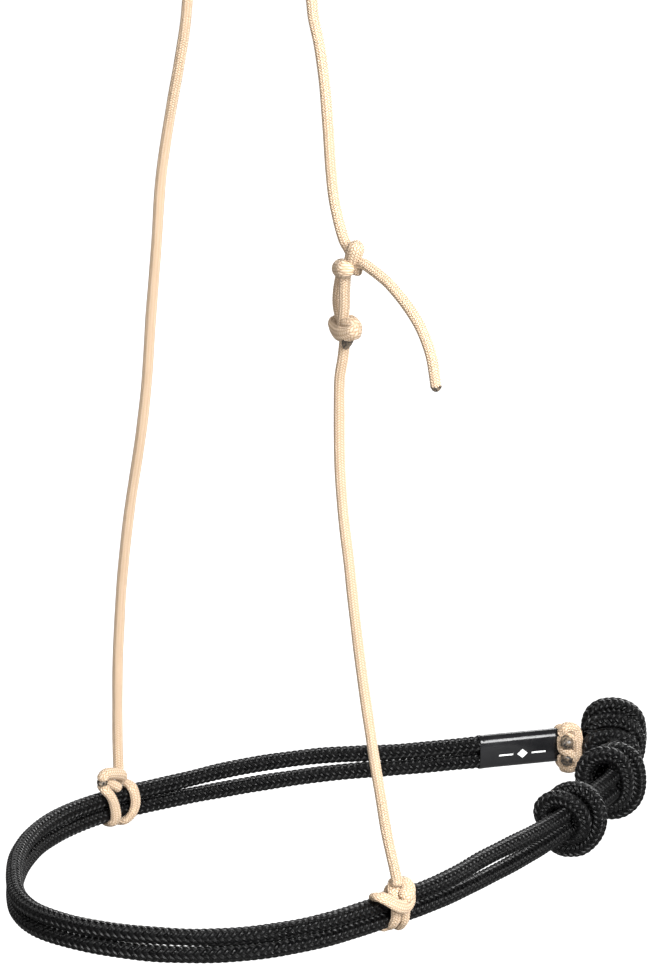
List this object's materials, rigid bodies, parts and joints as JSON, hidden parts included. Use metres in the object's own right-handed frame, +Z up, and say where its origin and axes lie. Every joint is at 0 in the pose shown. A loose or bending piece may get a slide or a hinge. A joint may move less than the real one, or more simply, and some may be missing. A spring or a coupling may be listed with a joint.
{
  "type": "rope halter",
  "caption": "Rope halter: doubled black braided rope noseband with heel knots, hung from a thin cream cord headstall tied with hitches, an eye loop and a bend.",
  "frame": {"origin": "under the middle of the crown, where the headstall rests on the horse's poll", "axes": "+Z up; +Y from the nose to the heel knots; +X to the near (left) side of the horse"},
  "size_m": [0.2214, 0.3717, 0.4585],
  "materials": {
    "black_rope": "satin black double-braid polyester rope",
    "cream_cord": "fine braided cream polyester cord",
    "shrink_tube": "glossy black shrink tube",
    "melted_cord": "melted cord end, dark and glassy"
  },
  "bodies": {
    "crown": {"crown_cord": "cream_cord"},
    "headstall": {"far_cheek_cord": "cream_cord", "near_crown_cord": "cream_cord", "adjusting_bend": "cream_cord", "eye_loop_outer_leg": "cream_cord", "eye_loop_inner_leg": "cream_cord", "eye_knot": "cream_cord", "eye_knot_end": "melted_cord", "near_cheek_cord": "cream_cord"},
    "tail": {"tail_cord": "cream_cord", "tail_end": "melted_cord"},
    "noseband": {"noseband_upper_strand": "black_rope", "noseband_lower_strand": "black_rope", "heel_knot_front": "black_rope", "heel_knot_middle": "black_rope", "heel_knot_rear": "black_rope", "label_sleeve": "shrink_tube", "collar_wrap": "cream_cord", "collar_upper_end": "melted_cord", "collar_lower_end": "melted_cord", "far_hitch_first_turn": "cream_cord", "far_hitch_second_turn": "cream_cord", "far_hitch_knot": "cream_cord", "far_hitch_end": "melted_cord", "near_hitch_first_turn": "cream_cord", "near_hitch_second_turn": "cream_cord", "near_hitch_knot": "cream_cord"}
  },
  "joints": [
    {"name": "headstall_swing", "type": "hinge", "parent": "crown", "child": "headstall", "pos_m": [0, 0, -0.048], "axis": [1, 0, 0], "range_deg": [-25, 25]},
    {"name": "tail_swing", "type": "hinge", "parent": "headstall", "child": "tail", "pos_m": [0.0693, 0, -0.1462], "axis": [0, 1, 0], "range_deg": [-30, 20]},
    {"name": "noseband_tip", "type": "hinge", "parent": "headstall", "child": "noseband", "pos_m": [0, 0.001, -0.41905], "axis": [0.9999, 0.0106, 0], "range_deg": [-20, 20]}
  ]
}
